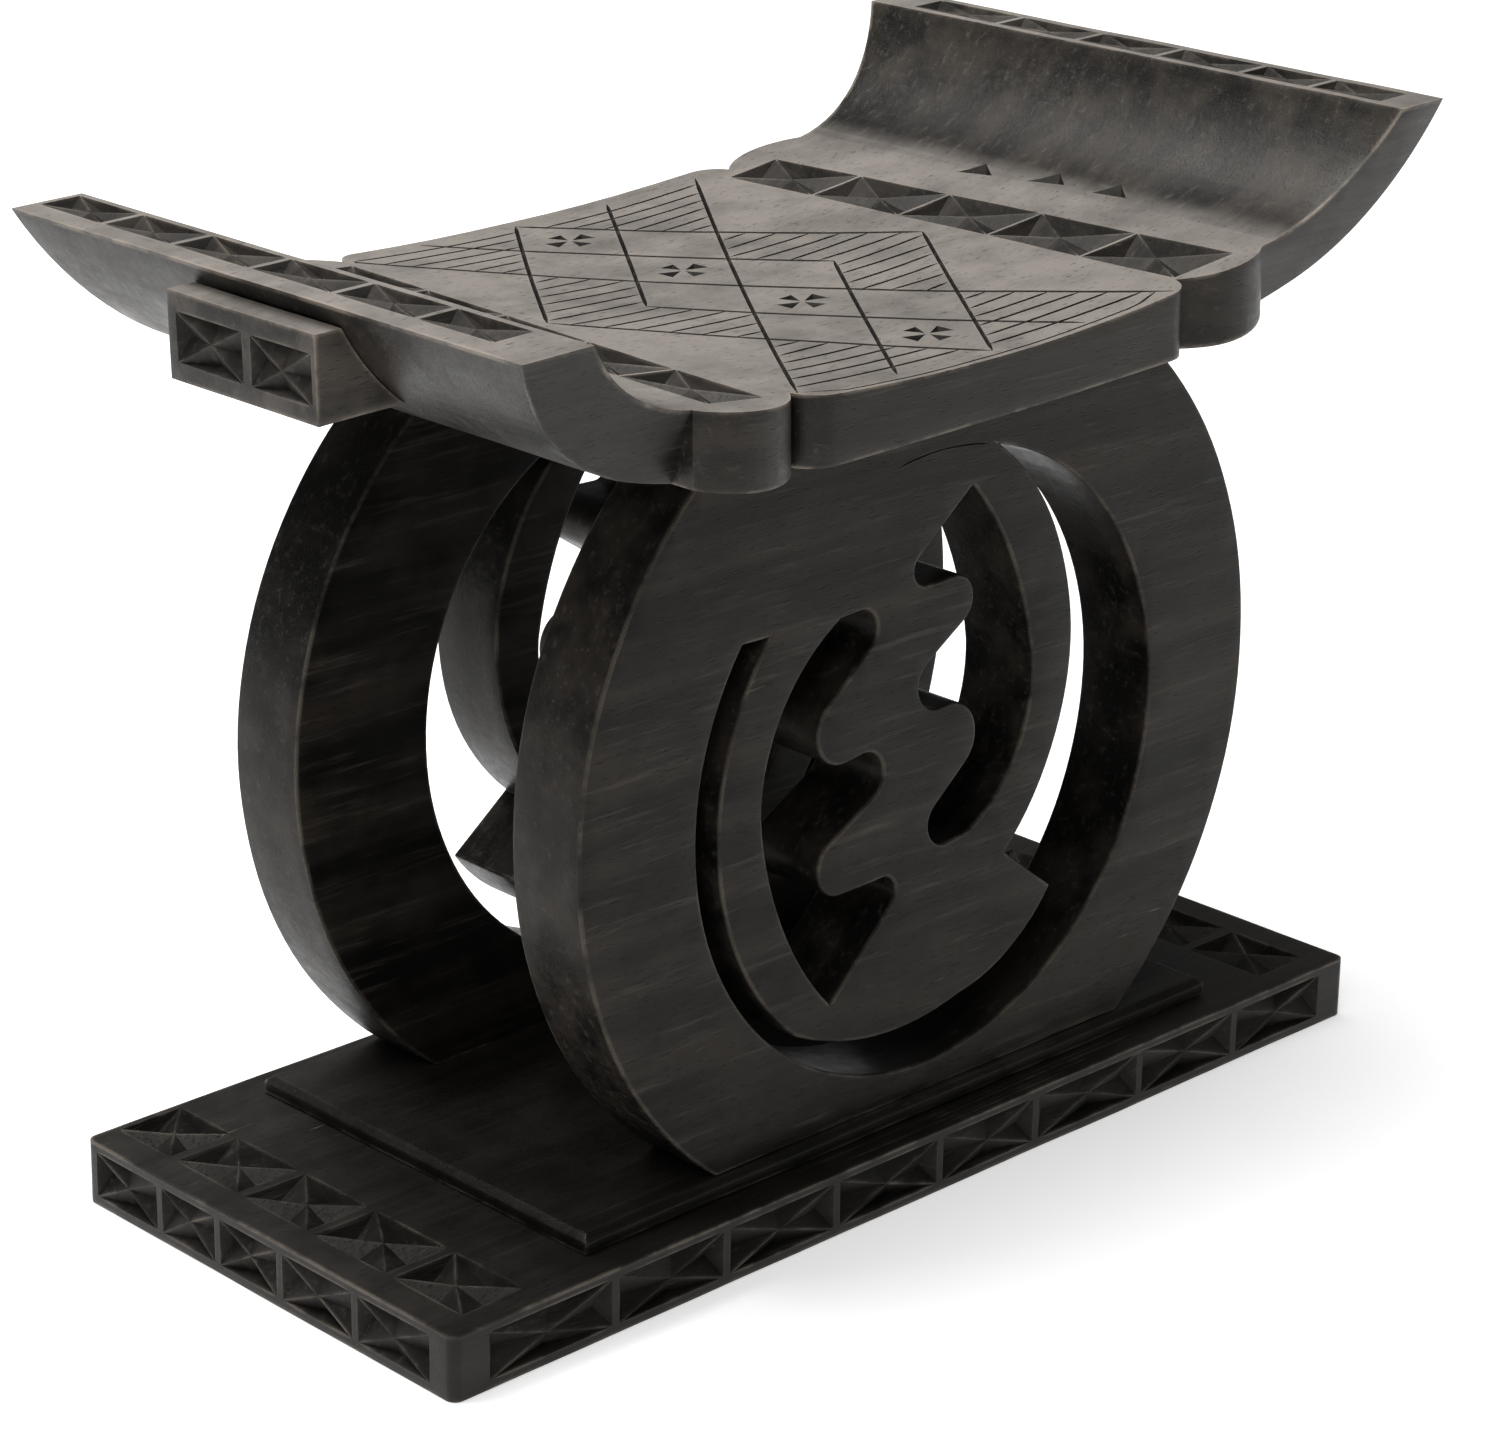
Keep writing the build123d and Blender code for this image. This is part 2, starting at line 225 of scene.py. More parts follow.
class Shader:
    """The node tree of one material."""

    def __init__(self, name: str) -> None:
        """Makes an empty material with its surface shader and output.

        Args:
            name: The material's name.
        """
        self.material = bpy.data.materials.new(name)
        self.material.use_nodes = True
        self.tree = self.material.node_tree
        self.tree.nodes.clear()
        self.surface = self.tree.nodes.new("ShaderNodeBsdfPrincipled")
        output = self.tree.nodes.new("ShaderNodeOutputMaterial")
        self.tree.links.new(self.surface.outputs["BSDF"], output.inputs["Surface"])

    def node(
        self,
        kind: str,
        settings: dict[str, object] | None = None,
        values: dict[str | int, object] | None = None,
        output: str | int = 0,
    ) -> Value:
        """Adds any node.

        Args:
            kind: Blender's name for the node's type.
            settings: Properties to set on the node first.
            values: The sockets' values, or the values that are linked to them.
            output: The output that is wanted.

        Returns:
            The wanted output as a value.
        """
        made = self.tree.nodes.new(kind)
        for name, value in (settings or {}).items():
            setattr(made, name, value)
        for name, value in (values or {}).items():
            self.feed(made.inputs[name], value)
        return Value(self, made.outputs[output])

    def feed(self, socket: bpy.types.NodeSocket, value: object) -> None:
        """Links a value to a socket, or sets the socket to a plain number or colour.

        Args:
            socket: The socket that is fed.
            value: What it gets.
        """
        if isinstance(value, Value):
            self.tree.links.new(value.socket, socket)
        else:
            socket.default_value = value

    def mix(self, share: Value | float, first: Value | Color, second: Value | Color) -> Value:
        """Blends two colours.

        Args:
            share: How much of the second colour shows, between 0 and 1.
            first: The colour at 0.
            second: The colour at 1.

        Returns:
            The blended colour.
        """
        colors = [color if isinstance(color, Value) else (*color, 1) for color in (first, second)]
        values = {0: share, 6: colors[0], 7: colors[1]}
        return self.node("ShaderNodeMix", {"data_type": "RGBA"}, values, 2)

    def noise(self, pattern: "Pattern") -> Value:
        """Smooth noise between about 0.2 and 0.8.

        Args:
            pattern: How the noise is stretched, turned and detailed.

        Returns:
            The noise.
        """
        place = self.stretched(pattern.stretch, pattern.turn)
        values = {"Vector": place, "Scale": pattern.scale, "Detail": pattern.detail}
        return self.node("ShaderNodeTexNoise", None, values | {"Roughness": pattern.roughness})

    def stretched(self, scale: Sequence[float], turn: Sequence[float]) -> Value:
        """Finds the place on the object, stretched and turned.

        Args:
            scale: The stretch along X, Y and Z.
            turn: The turn about X, Y and Z, in radians.

        Returns:
            The place.
        """
        place = self.node("ShaderNodeTexCoord", None, None, "Object")
        values = {"Vector": place, "Scale": scale, "Rotation": turn}
        return self.node("ShaderNodeMapping", None, values)

    def convexity(self, reach: float) -> Value:
        """0 on flat wood, rising towards 1 on edges that stand out."""
        settings = {"inside": True, "only_local": True, "samples": 6}
        return 1 - self.node("ShaderNodeAmbientOcclusion", settings, {"Distance": reach}, "AO")

    def finish(self, **sockets: object) -> bpy.types.Material:
        """Feeds the surface shader.

        Args:
            **sockets: The sockets' names, with _ for each space, and their values.

        Returns:
            The material.
        """
        for name, value in sockets.items():
            self.feed(self.surface.inputs[name.replace("_", " ")], value)
        return self.material


# ---- finishes ----
EVEN = (1.0, 1.0, 1.0)
ALONG_GRAIN = (2.2, 38.0, 38.0)


@dataclass(frozen=True)
class Pattern:
    """Noise over a surface: its stretch and turn on the object, and how fine it is."""

    stretch: tuple[float, float, float] = EVEN
    turn: tuple[float, float, float] = (0.0, 0.0, 0.0)
    scale: float = 1.0
    detail: float = 4.0
    roughness: float = 0.5


FIBRES = Pattern(ALONG_GRAIN, scale=7, detail=8, roughness=0.66)
STREAKS = Pattern(ALONG_GRAIN, scale=1.3, detail=5, roughness=0.55)
CLOUDS = Pattern(scale=8, detail=4, roughness=0.55)
BLOTCHES = Pattern(scale=42, detail=5, roughness=0.62)
PORES = Pattern((170.0, 1300.0, 1300.0), detail=1, roughness=0.4)
SCUFFS = Pattern((30.0, 420.0, 420.0), (0.2, 0.3, 0.5), detail=2)
PLAIN_GRAIN = Pattern(ALONG_GRAIN, scale=4, detail=5)
FLOOR_CLOUDS = Pattern(scale=0.6, detail=2)

# Where the masks of the finishes begin and end.
FACES_UP: Range = (0.91, 0.995)
STANDS_OUT: Range = (0.14, 0.40)
EDGE_PATCHES: Range = (0.40, 0.60)
BROWN_TONE: Range = (0.42, 0.60)
PALE_THREADS: Range = (0.53, 0.72)
DARK_PORES: Range = (0.66, 0.74)
DEEP_PORES: Range = (0.62, 0.74)
SCRATCHES: Range = (0.70, 0.79)
SCRATCHED_PATCHES: Range = (0.48, 0.62)
PALE_GRAIN: Range = (0.35, 0.65)


@dataclass(frozen=True)
class Ebonised:
    """Black-stained hardwood under a satin polish scuffed by use, with real wear and painted light on the
    faces that point up, and real wear and painted highlights on the edges.
    """

    name: str
    dark: Color = (0.0040, 0.0038, 0.0035)
    brown: Color = (0.0215, 0.0178, 0.0145)
    dusty: Color = (0.115, 0.103, 0.090)
    # The next colour lightens faces that point up: partly real wear from use, partly painted light from
    # the lamp above.
    up_wear_and_light_color: Color = (0.19, 0.172, 0.155)
    # The next colour is for scratches, which are real wear, and for pale edges, which are partly real wear
    # and partly painted highlights.
    scuffed_and_highlit: Color = (0.26, 0.22, 0.18)
    # How strongly faces that point up are lightened, by real wear and by painted light.
    up_wear_and_light: float = 0.0
    # How pale the edges get, by real wear and by painted highlights.
    edge_scuff_and_highlight: float = 0.60
    roughness: float = 0.37
    relief: float = 0.35
    gloss: float = 0.16
    sheen: tuple[float, float, float, float] = (1.0, 0.95, 0.88, 1.0)
    edge_reach: float = 2.5 * MM
    relief_height: float = 0.8 * MM
    thread_share: float = 0.25
    pore_share: float = 0.7
    scratch_share: float = 0.30

    def make(self) -> bpy.types.Material:
        """Builds the material.

        Returns:
            The finished material.
        """
        shader = Shader(self.name)
        fibre, streak, cloud, blotch, pore, scuff = (
            shader.noise(pattern) for pattern in (FIBRES, STREAKS, CLOUDS, BLOTCHES, PORES, SCUFFS)
        )
        facing = shader.node("ShaderNodeNewGeometry", None, None, "Normal")
        up = shader.node("ShaderNodeSeparateXYZ", None, {0: facing}, "Z").above(*FACES_UP)
        # Pale edges: partly real wear, partly painted highlights where light would catch them.
        edge_patch_mask = blotch.above(*EDGE_PATCHES) * 0.85 + 0.15
        edge = shader.convexity(self.edge_reach).above(*STANDS_OUT) * edge_patch_mask

        tone = (streak * 0.5 + cloud * 0.25 + blotch * 0.25).above(*BROWN_TONE)
        color = shader.mix(tone, self.dark, self.brown)
        color = shader.mix(fibre.above(*PALE_THREADS) * self.thread_share, color, self.dusty)
        # Faces that point up are lightened towards that colour: partly real wear, partly painted light
        # from the lamp above.
        up_wear_and_light_mask = up * (cloud * 0.9 + blotch * 0.8 + streak * 0.6 - 0.30) * self.up_wear_and_light
        color = shader.mix(up_wear_and_light_mask, color, self.up_wear_and_light_color)
        color = shader.mix(pore.above(*DARK_PORES) * self.pore_share, color, self.dark)
        scratch = scuff.above(*SCRATCHES) * cloud.above(*SCRATCHED_PATCHES)
        color = shader.mix(scratch * self.scratch_share, color, self.scuffed_and_highlit)
        color = shader.mix(edge * self.edge_scuff_and_highlight, color, self.scuffed_and_highlit)

        # The three noises add up to 0.475 on average, which is taken off the roughness again.
        rough = fibre * 0.35 + blotch * 0.35 + cloud * 0.25 + (self.roughness - 0.475)
        relief = fibre * 0.5 + blotch * 0.4 - pore.above(*DEEP_PORES) * 0.35
        values = {"Height": relief, "Strength": self.relief, "Distance": self.relief_height}
        bump = shader.node("ShaderNodeBump", None, values)
        return shader.finish(
            Base_Color=color, Roughness=rough, Normal=bump, Specular_IOR_Level=self.gloss,
            Specular_Tint=self.sheen,
        )


@dataclass(frozen=True)
class PlainWood:
    """Unfinished hardwood, for the dowels inside the joints."""

    name: str
    pale: Color = (0.46, 0.31, 0.19)
    deep: Color = (0.30, 0.18, 0.10)
    relief: float = 0.2
    relief_height: float = 0.3 * MM

    def make(self) -> bpy.types.Material:
        """Builds the material.

        Returns:
            The finished material.
        """
        shader = Shader(self.name)
        grain = shader.noise(PLAIN_GRAIN)
        color = shader.mix(grain.above(*PALE_GRAIN), self.deep, self.pale)
        values = {"Height": grain, "Strength": self.relief, "Distance": self.relief_height}
        bump = shader.node("ShaderNodeBump", None, values)
        return shader.finish(Base_Color=color, Roughness=grain * 0.2 + 0.55, Normal=bump)


@dataclass(frozen=True)
class Backdrop:
    """The pale, plain floor, which glows more the farther it is from the stool."""

    name: str
    color: Color = (0.86, 0.86, 0.86)
    clouded: Color = (0.88, 0.88, 0.88)
    near_glow: Color = (0.50, 0.50, 0.50)
    far_glow: Color = (0.95, 0.95, 0.95)
    near: float = 0.55
    far: float = 1.9

    def make(self) -> bpy.types.Material:
        """Builds the material.

        Returns:
            The finished material.
        """
        shader = Shader(self.name)
        color = shader.mix(shader.noise(FLOOR_CLOUDS), self.color, self.clouded)
        place = shader.node("ShaderNodeTexCoord", None, None, "Object")
        away = shader.node("ShaderNodeVectorMath", {"operation": "LENGTH"}, {0: place}, "Value")
        glow = shader.mix(away.above(self.near, self.far), self.near_glow, self.far_glow)
        return shader.finish(
            Base_Color=color,
            Roughness=0.9,
            Specular_IOR_Level=0.0,
            Emission_Color=glow,
            Emission_Strength=1.0,
        )


# In these finishes the lightening of faces that point up is partly real wear and partly painted light from
# above; the seat's top gets the most.
SEAT_FINISH = Ebonised("seat_ebonised", up_wear_and_light=1.0, roughness=0.42, gloss=0.24)
# Near black: partly the duller finish of cut faces, partly painted shade in the seat's grooves and petals
# and in the panels' score line.
SEAT_CARVING_AND_SHADE = Ebonised(
    "seat_carving_and_shade", dark=(0.003, 0.0026, 0.0022), brown=(0.007, 0.006, 0.005), edge_scuff_and_highlight=0.2, roughness=0.7,
    gloss=0.25,
)
BAND_CUT = Ebonised(
    "band_cut", dark=(0.0055, 0.005, 0.0045), brown=(0.023, 0.0199, 0.017), edge_scuff_and_highlight=0.45,
    roughness=0.6, up_wear_and_light=0.10, gloss=0.25,
)
RIM_CUT = Ebonised(
    "rim_cut", dark=(0.008, 0.0074, 0.0068), brown=(0.036, 0.031, 0.0265), edge_scuff_and_highlight=0.45,
    roughness=0.58, up_wear_and_light=0.16,
)
LUG_FINISH = Ebonised(
    "lug_ebonised", dark=(0.014, 0.013, 0.012), brown=(0.065, 0.056, 0.048), up_wear_and_light=0.8
)
PANEL_FINISH = Ebonised("panel_ebonised", roughness=0.40, gloss=0.12)
BASE_FINISH = Ebonised(
    "base_ebonised", dark=(0.0038, 0.0035, 0.0032), brown=(0.010, 0.0088, 0.0078),
    dusty=(0.040, 0.036, 0.032), up_wear_and_light=0.07, roughness=0.42, gloss=0.24,
)
BASE_CUT = Ebonised(
    "base_cut", dark=(0.006, 0.0055, 0.005), brown=(0.017, 0.015, 0.0135), roughness=0.55, relief=0.7
)


# ---- carving ----
class Ground:
    """A face that is carved. Places are given across and up it, and are found on the solid."""

    reach = 0.6

    def __init__(self, solid: bpy.types.Object, origin: Vector, across: Vector, up: Vector) -> None:
        """Looks at a solid from outside, against the normal of across and up.

        Args:
            solid: The object that has the face.
            origin: The point that places are counted from.
            across: The first direction on the face.
            up: The second one, at right angles to it.
        """
        mesh = bmesh.new()
        mesh.from_mesh(solid.data)
        self.tree = BVHTree.FromBMesh(mesh)
        mesh.free()
        self.origin = origin
        self.across = across.normalized()
        self.up = up.normalized()
        self.out = self.across.cross(self.up)

    def at(self, place: Sequence[float], rise: float = 0.0) -> Vector:
        """Finds a point over or under the face.

        Args:
            place: Where the point is, across and up the face.
            rise: How far above the face it is; less than 0 is below.

        Returns:
            The point in space.
        """
        start = self.origin + self.across * place[0] + self.up * place[1] + self.out * self.reach
        hit = self.tree.ray_cast(start, -self.out)[0]
        if hit is None:
            hit = start - self.out * self.reach
        return hit + self.out * rise


class Level(IntEnum):
    """The height of a point on a master wedge."""

    CAP = 1
    RIM = 0
    TIP = -1
    PIT = -2


class Masters:
    """The shapes that all the carving is made of, modelled once and copied."""

    groove_cuts = 23
    section = ((0.5, 0.0), (0.5, 1.0), (-0.5, 1.0), (-0.5, 0.0), (0.0, -1.0))
    tip_radius = 0.1
    pit_height = 0.45
    nudge = 0.01
    _made: dict[str, bpy.types.Object] = {}

    @classmethod
    def wedge(cls, corners: int) -> bpy.types.Object:
        """A spike with its corners at height 0, its tip at -1 and a straight cap up to 1.

        Args:
            corners: How many corners it has; with four, every side also gets a pit of its own.

        Returns:
            The master shape. Each point's place holds its number along X and its level along Z.
        """
        name = f"wedge_{corners}"
        if name not in cls._made:
            bpy.ops.object.select_all(action="DESELECT")
            bpy.ops.mesh.primitive_cone_add(vertices=corners, radius1=1, depth=1, rotation=(math.pi, 0, 0))
            bpy.ops.object.transform_apply(location=False, rotation=True, scale=True)
            shape = bpy.context.active_object
            bpy.ops.object.mode_set(mode="EDIT")
            bpy.ops.mesh.select_mode(type="FACE")
            mesh = bmesh.from_edit_mesh(shape.data)
            lid = max(mesh.faces, key=lambda face: face.normal.z)
            if corners == 4:
                bpy.ops.mesh.select_all(action="SELECT")
                lid.select_set(False)
                bmesh.update_edit_mesh(shape.data)
                bpy.ops.mesh.poke()
            bpy.ops.mesh.select_all(action="DESELECT")
            mesh = bmesh.from_edit_mesh(shape.data)
            max(mesh.faces, key=lambda face: face.calc_center_median().z).select_set(True)
            bmesh.update_edit_mesh(shape.data)
            bpy.ops.mesh.extrude_region_move(TRANSFORM_OT_translate={"value": (0, 0, 1)})
            bpy.ops.object.mode_set(mode="OBJECT")
            cls._number(shape, corners)
            cls._keep(name, shape)
        return cls._made[name]

    @staticmethod
    def _number(shape: bpy.types.Object, corners: int) -> None:
        """Writes each point's number and level into its place.

        Args:
            shape: The wedge.
            corners: How many corners it has.
        """
        for vertex in shape.data.vertices:
            x, y, z = vertex.co
            turn = math.atan2(y, x) % FULL_TURN / FULL_TURN * corners
            if math.hypot(x, y) < Masters.tip_radius:
                vertex.co = (0, 0, Level.TIP)
            elif z < Masters.pit_height:
                vertex.co = (math.floor(turn) % corners, 0, Level.PIT)
            else:
                level = Level.CAP if z > 1 else Level.RIM
                vertex.co = (round(turn + Masters.nudge) % corners, 0, level)

    @classmethod
    def groove(cls) -> bpy.types.Object:
        """A bar with a V section and a straight cap, cut into short lengths.

        Returns:
            The master shape, from 0 to 1 along X.
        """
        if "groove" not in cls._made:
            sides = len(cls.section)
            bpy.ops.object.select_all(action="DESELECT")
            bpy.ops.mesh.primitive_cylinder_add(vertices=sides, radius=1, depth=1)
            bar = bpy.context.active_object
            for vertex in bar.data.vertices:
                turn = (math.atan2(vertex.co.x, vertex.co.y) % FULL_TURN) / FULL_TURN
                corner = round(turn * sides + cls.nudge) % sides
                vertex.co = (vertex.co.z + 0.5, *cls.section[corner])
            bpy.ops.object.mode_set(mode="EDIT")
            for step in range(1, cls.groove_cuts + 1):
                bpy.ops.mesh.select_all(action="SELECT")
                place = (step / (cls.groove_cuts + 1), 0, 0)
                bpy.ops.mesh.bisect(plane_co=place, plane_no=(1, 0, 0))
            bpy.ops.object.mode_set(mode="OBJECT")
            cls._keep("groove", bar)
        return cls._made["groove"]

    @classmethod
    def _keep(cls, name: str, shape: bpy.types.Object) -> None:
        """Puts a master shape aside, out of the scene.

        Args:
            name: What it is kept under.
            shape: The shape.
        """
        shape.name = f"master_{name}"
        for collection in list(shape.users_collection):
            collection.objects.unlink(shape)
        cls._made[name] = shape

    @classmethod
    def clear(cls) -> None:
        """Deletes the master shapes."""
        for shape in cls._made.values():
            bpy.data.objects.remove(shape)
        cls._made.clear()


class Cutter:
    """Gathers the shapes that a knife takes out of one face, and takes them out together."""

    cap = 1.5 * MM
    lip = 0.22 * MM
    depth_range: Range = (0.85, 1.15)
    chip_foot: Range = (0.44, 0.56)
    cross_foot: Range = (0.42, 0.58)
    sway_share = 0.008
    sway_most = 0.5 * MM
    look_along = 0.02
    taper = 5 * MM

    def __init__(self, ground: Ground, seed: int) -> None:
        """Starts with nothing to cut.

        Args:
            ground: The face that is carved.
            seed: Settles how far the hand strays.
        """
        self.ground = ground
        self.hand = random.Random(seed)
        self.shapes: list[bpy.types.Object] = []

    def _copy(self, master: bpy.types.Object) -> bpy.types.Object:
        """Copies a master shape with its own mesh.

        Args:
            master: The shape to copy.

        Returns:
            The copy.
        """
        shape = master.copy()
        shape.data = master.data.copy()
        bpy.context.scene.collection.objects.link(shape)
        self.shapes.append(shape)
        return shape

    def chip(
        self, start: Sequence[float], end: Sequence[float], apex: Sequence[float], depth: float,
        lean: float = 0.13,
    ) -> None:
        """Takes out a three-cornered chip with one steep side.

        Args:
            start: One end of the chip's steep side.
            end: The other end of it.
            apex: The corner where the chip runs out.
            depth: How deep it is at the foot of the steep side.
            lean: How far the deepest point is from the steep side towards the apex, as a share.
        """
        corners = (start, end, apex)
        share = self.hand.uniform(*self.chip_foot)
        foot = Vector(start).lerp(Vector(end), share).lerp(Vector(apex), lean)
        depth *= self.hand.uniform(*self.depth_range)
        shape = self._copy(Masters.wedge(3))
        for vertex in shape.data.vertices:
            corner, _, level = (round(number) for number in vertex.co)
            if level == Level.TIP:
                vertex.co = self.ground.at(foot, -depth)
            else:
                vertex.co = self.ground.at(corners[corner], self.lip + self.cap * level)

    def cross(
        self, corners: Sequence[Sequence[float]], depth: float, sunk: float,
        lean: float = 0.2, stray: float = 0.5 * MM,
    ) -> None:
        """Takes four chips out of a four-cornered cell, leaving its diagonals as ridges.

        Args:
            corners: The cell's corners in order.
            depth: How deep the chips are.
            sunk: How far the middle of the cell is below the face.
            lean: How far each deepest point is from its side towards the middle, as a share.
            stray: How far the hand strays.
        """
        points = [Vector(corner) for corner in corners]
        middle = sum(points, Vector((0, 0))) / 4
        middle += Vector((self.hand.uniform(-stray, stray), self.hand.uniform(-stray, stray)))
        pits = []
        for start, end in zip(points, points[1:] + points[:1]):
            foot = start.lerp(end, self.hand.uniform(*self.cross_foot)).lerp(middle, lean)
            pits.append(self.ground.at(foot, -depth * self.hand.uniform(*self.depth_range)))
        shape = self._copy(Masters.wedge(4))
        for vertex in shape.data.vertices:
            number, _, level = (round(value) for value in vertex.co)
            if level == Level.PIT:
                vertex.co = pits[number]
            elif level == Level.TIP:
                vertex.co = self.ground.at(middle, -sunk)
            else:
                vertex.co = self.ground.at(points[number], self.lip + self.cap * level)

    def groove(
        self, places: Sequence[Sequence[float]], width: float, depth: float, tips: float = 0.35
    ) -> None:
        """Cuts a V groove through two or more places, following the face.

        Args:
            places: The places on the face that the groove passes, in order.
            width: The groove's width at the surface.
            depth: Its depth.
            tips: Its width and depth at both ends, as a share.
        """
        points = [Vector(place) for place in places]
        lengths = [(end - start).length for start, end in zip(points, points[1:])]
        total = sum(lengths)

        def along(share: float) -> Vector:
            """Finds a place along the groove.

            Args:
                share: How far along its whole length the place is.

            Returns:
                The place on the face.
            """
            left = share * total
            for start, end, length in zip(points, points[1:], lengths):
                if left <= length or end is points[-1]:
                    return start.lerp(end, left / length)
                left -= length
            return points[-1]

        shape = self._copy(Masters.groove())
        sway = self.hand.uniform(-1, 1) * min(total * self.sway_share, self.sway_most)
        for vertex in shape.data.vertices:
            share, across, level = vertex.co
            run = along(share + self.look_along) - along(share - self.look_along)
            side = Vector((-run.y, run.x)).normalized()
            full = tips + (1 - tips) * min(1.0, min(share, 1 - share) * total / self.taper)
            bow = sway * math.sin(share * math.pi)
            rise = -depth * full if level < 0 else self.lip + level * self.cap
            vertex.co = self.ground.at(along(share) + side * (across * width * full + bow), rise)

    def cut(self, piece: bpy.types.Object, finish: bpy.types.Material) -> None:
        """Takes all the gathered shapes out of a piece.

        Args:
            piece: The object that is carved.
            finish: The material of the faces that the cut leaves.
        """
        if not self.shapes:
            return
        bpy.ops.object.select_all(action="DESELECT")
        for shape in self.shapes:
            shape.select_set(True)
        bpy.context.view_layer.objects.active = self.shapes[0]
        if len(self.shapes) > 1:
            bpy.ops.object.join()
        knife = bpy.context.view_layer.objects.active
        triangulate(knife)
        knife.data.materials.clear()
        knife.data.materials.append(finish)
        settings = {"operation": "DIFFERENCE", "solver": "EXACT", "use_self": False}
        apply_modifier(piece, "BOOLEAN", material_mode="TRANSFER", object=knife, **settings)
        bpy.data.objects.remove(knife)
        log.info("%s: %d shapes cut", piece.name, len(self.shapes))
        self.shapes = []


# ---- wooden pieces ----
@dataclass
class Timber:
    """One wooden piece, worked from a copy of its solid."""

    node: str
    slot: str
    finish: Ebonised
    edge: float = 1.2 * MM
    wave: float = 0.35 * MM
    wave_length: float = 55 * MM
    grid: float = 14 * MM
    segments: int = 4
    seed: float = 1.0
    piece: bpy.types.Object | None = field(default=None, init=False)

    def rough_out(self) -> bpy.types.Object:
        """Copies the solid, joins its loose faces, softens its edges and gives it its finish.

        Returns:
            The new piece.
        """
        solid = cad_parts[self.node]
        piece = bpy.data.objects.new(f"{self.node}_carved", solid.data.copy())
        bpy.context.scene.collection.objects.link(piece)
        piece.data.materials.clear()
        piece.data.materials.append(self.finish.make())
        select_only(piece)
        bpy.ops.object.mode_set(mode="EDIT")
        bpy.ops.mesh.select_all(action="SELECT")
        bpy.ops.mesh.remove_doubles(threshold=MERGE_DISTANCE)
        bpy.ops.mesh.dissolve_limited(angle_limit=FLAT_ANGLE)
        bpy.ops.object.mode_set(mode="OBJECT")
        settings = {"limit_method": "ANGLE", "angle_limit": SOFTEN_ANGLE, "segments": self.segments}
        apply_modifier(piece, "BEVEL", width=self.edge, **settings)
        slice_mesh(piece, self.grid)
        triangulate(piece)
        ripple(piece, self.wave, self.wave_length, self.seed)
        inside_box(piece, self.node)
        select_only(piece)
        bpy.ops.object.shade_smooth_by_angle(angle=SOFTEN_ANGLE)
        self.piece = piece
        return piece

    def finish_off(self) -> None:
        """Leaves the cut faces crisp, gives the piece its body, and hides the solid."""
        for face in self.piece.data.polygons:
            if face.material_index > 0:
                face.use_smooth = False
        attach(self.piece, "root")
        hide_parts(self.node)
        log.info("%s: %d faces", self.piece.name, len(self.piece.data.polygons))


